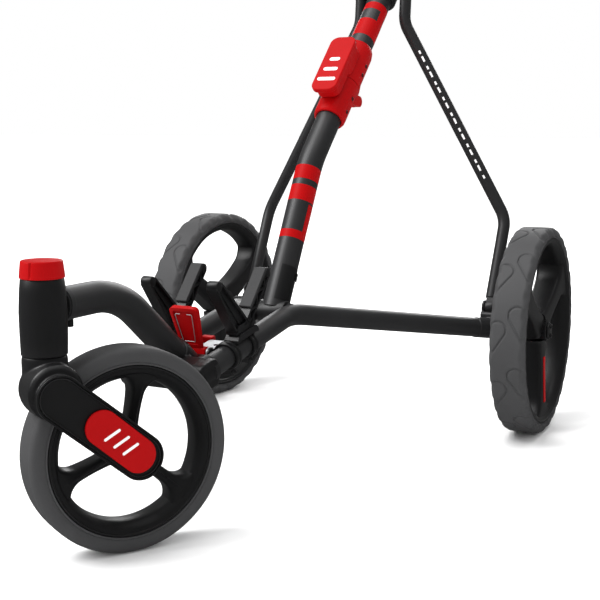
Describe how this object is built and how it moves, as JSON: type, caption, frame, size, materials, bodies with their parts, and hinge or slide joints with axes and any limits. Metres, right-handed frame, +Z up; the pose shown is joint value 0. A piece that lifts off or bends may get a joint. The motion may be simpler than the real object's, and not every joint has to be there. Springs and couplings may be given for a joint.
{
  "type": "golf push trolley",
  "caption": "Folding three-wheeled push trolley for a golf bag: swivelling front wheel, hinged mast with struts, bag cradle and push handle.",
  "frame": {"origin": "on the ground, under the middle of the trolley's overall length and width", "axes": "+Z up, +Y towards the rear and the push handle, +X towards the trolley's right, where the single front fork arm is"},
  "size_m": [0.6128, 1.289, 1.0144],
  "materials": {
    "coated_tube": "satin charcoal powder coat on tube",
    "black_plastic": "fine-grained matte moulding",
    "red_plastic": "bright satin red moulding",
    "tyre": "mid grey soft tread",
    "pad_rubber": "soft grey rubber",
    "steel": "bright zinc plated steel",
    "bronze": "plain sintered bronze"
  },
  "bodies": {
    "chassis": {"head_barrel": "black_plastic", "head_bush_lower": "bronze", "head_bush_upper": "bronze", "boom_tube": "coated_tube", "junction_casting": "black_plastic", "frame_tube_left": "coated_tube", "frame_tube_right": "coated_tube", "mast_hinge_bracket": "black_plastic", "mast_hinge_pin": "steel", "latch_plate": "steel", "latch_pin": "steel", "cradle_clamp_left": "black_plastic", "cradle_clamp_right": "black_plastic", "cradle_arm_left": "black_plastic", "cradle_arm_right": "black_plastic", "cradle_pad_left": "pad_rubber", "cradle_pad_right": "pad_rubber", "hub_bracket_left": "black_plastic", "hub_bracket_right": "black_plastic", "strut_pin_left": "steel", "strut_pin_right": "steel", "rear_axle_left": "steel", "rear_axle_right": "steel"},
    "front_swivel": {"swivel_stem": "steel", "fork_arm": "black_plastic", "stem_nut": "steel", "badge_plate": "red_plastic", "front_axle": "steel"},
    "front_wheel": {"front_rim": "black_plastic", "front_tyre": "tyre", "front_bearing": "steel"},
    "head_knob": {"head_knob": "red_plastic"},
    "rear_wheel_left": {"rear_rim_left": "black_plastic", "rear_tyre_left": "tyre", "rear_bearing_left": "steel", "rear_hub_cap_left": "black_plastic"},
    "rear_wheel_right": {"rear_rim_right": "black_plastic", "rear_tyre_right": "tyre", "rear_bearing_right": "steel", "rear_hub_cap_right": "black_plastic"},
    "lower_mast": {"mast_foot": "black_plastic", "lower_mast_tube": "coated_tube", "coupler_lower_shell": "red_plastic"},
    "upper_mast": {"upper_mast_tube": "coated_tube", "coupler_upper_shell": "red_plastic", "coupler_hinge_pin": "steel", "strut_yoke": "black_plastic", "bag_rest_bracket": "black_plastic", "bag_rest_arm_left": "black_plastic", "bag_rest_arm_right": "black_plastic", "handle_block": "black_plastic"},
    "release": {"release_slider": "red_plastic", "latch_bolt": "steel"},
    "strut_left": {"strut_left": "coated_tube"},
    "strut_right": {"strut_right": "coated_tube"},
    "latch_lever": {"latch_lever": "red_plastic"},
    "handle": {"handle_bar": "coated_tube", "grip_left": "pad_rubber", "grip_right": "pad_rubber"}
  },
  "joints": [
    {"name": "front_swivel_turn", "type": "hinge", "parent": "chassis", "child": "front_swivel", "pos_m": [0, -0.6006, 0.25], "axis": [0, 0, 1], "continuous": true},
    {"name": "front_wheel_spin", "type": "hinge", "parent": "front_swivel", "child": "front_wheel", "pos_m": [0.04299, -0.52762, 0.11], "axis": [0.8616, -0.5075, 0], "continuous": true},
    {"name": "head_knob_turn", "type": "hinge", "parent": "chassis", "child": "head_knob", "pos_m": [0, -0.6006, 0.3], "axis": [0, 0, 1], "range_deg": [0, 90]},
    {"name": "rear_left_spin", "type": "hinge", "parent": "chassis", "child": "rear_wheel_left", "pos_m": [-0.2736, 0.1514, 0.15], "axis": [0.9985, -0.0549, 0], "continuous": true},
    {"name": "rear_right_spin", "type": "hinge", "parent": "chassis", "child": "rear_wheel_right", "pos_m": [0.2736, 0.1514, 0.15], "axis": [0.9985, 0.0549, 0], "continuous": true},
    {"name": "mast_fold", "type": "hinge", "parent": "chassis", "child": "lower_mast", "pos_m": [0, -0.1336, 0.196], "axis": [1, 0, 0], "range_deg": [0, 103]},
    {"name": "coupler_fold", "type": "hinge", "parent": "lower_mast", "child": "upper_mast", "pos_m": [0, 0.09806, 0.48009], "axis": [1, 0, 0], "range_deg": [-145.1, 0]},
    {"name": "strut_fold_left", "type": "hinge", "parent": "chassis", "child": "strut_left", "pos_m": [-0.206, 0.1544, 0.178], "axis": [1, 0, 0], "range_deg": [0, 68.6]},
    {"name": "strut_fold_right", "type": "hinge", "parent": "chassis", "child": "strut_right", "pos_m": [0.206, 0.1544, 0.178], "axis": [1, 0, 0], "range_deg": [0, 68.6]},
    {"name": "release_slide", "type": "slide", "parent": "upper_mast", "child": "release", "axis": [0, 0.6906, 0.7232], "range_m": [0, 0.006], "stiffness_N_per_m": 600},
    {"name": "latch_lever_open", "type": "hinge", "parent": "chassis", "child": "latch_lever", "pos_m": [0, -0.3296, 0.1758], "axis": [1, 0, 0], "range_deg": [-90, 0]},
    {"name": "handle_tilt", "type": "hinge", "parent": "upper_mast", "child": "handle", "pos_m": [0, 0.51962, 0.96938], "axis": [1, 0, 0], "range_deg": [-40, 70]}
  ],
  "couplings": [
    {"joint": "coupler_fold", "follows": "mast_fold", "ratio": -1.408},
    {"joint": "strut_fold_left", "follows": "mast_fold", "ratio": 0.665},
    {"joint": "strut_fold_right", "follows": "mast_fold", "ratio": 0.665}
  ]
}
